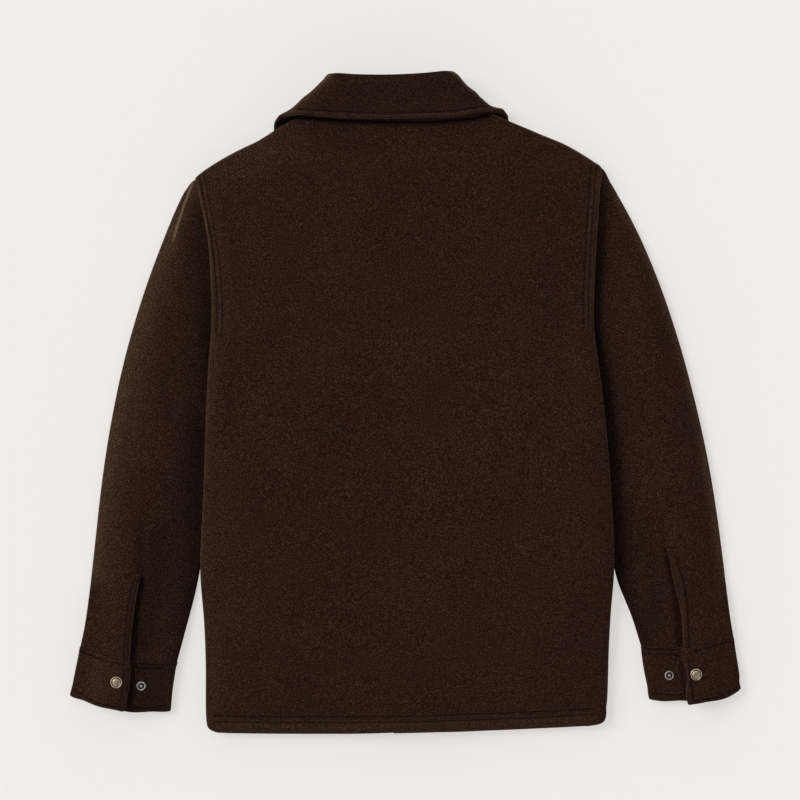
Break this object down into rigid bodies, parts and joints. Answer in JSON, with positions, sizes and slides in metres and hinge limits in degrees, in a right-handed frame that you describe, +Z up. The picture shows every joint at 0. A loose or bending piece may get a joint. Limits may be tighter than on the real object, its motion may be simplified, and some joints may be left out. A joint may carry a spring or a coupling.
{
  "type": "insulated shirt jacket",
  "caption": "Insulated wool shirt jacket laid out face down with its back up: turned-down collar, spread sleeves and open cuffs with snaps.",
  "frame": {"origin": "middle of the laid-out jacket, on the surface that it lies on", "axes": "+X towards the wearer's right sleeve as it lies, +Y towards the collar, +Z up out of the back"},
  "size_m": [0.7719, 0.7625, 0.0261],
  "materials": {
    "wool": "matte",
    "wool_under": "matte",
    "snap_brass": "antique"
  },
  "bodies": {
    "root": {"back": "wool", "left_front": "wool_under", "right_front": "wool_under", "front_placket": "wool_under", "collar_fall": "wool", "collar_stand": "wool_under", "left_sleeve": "wool", "left_cuff": "wool", "left_cuff_snap_cap": "snap_brass", "left_cuff_snap_stud": "snap_brass", "right_sleeve": "wool", "right_cuff": "wool", "right_cuff_snap_cap": "snap_brass", "right_cuff_snap_stud": "snap_brass", "front_snap_1": "snap_brass", "front_snap_2": "snap_brass", "front_snap_3": "snap_brass", "front_snap_4": "snap_brass", "front_snap_5": "snap_brass", "front_snap_6": "snap_brass", "front_snap_7": "snap_brass"}
  },
  "joints": []
}
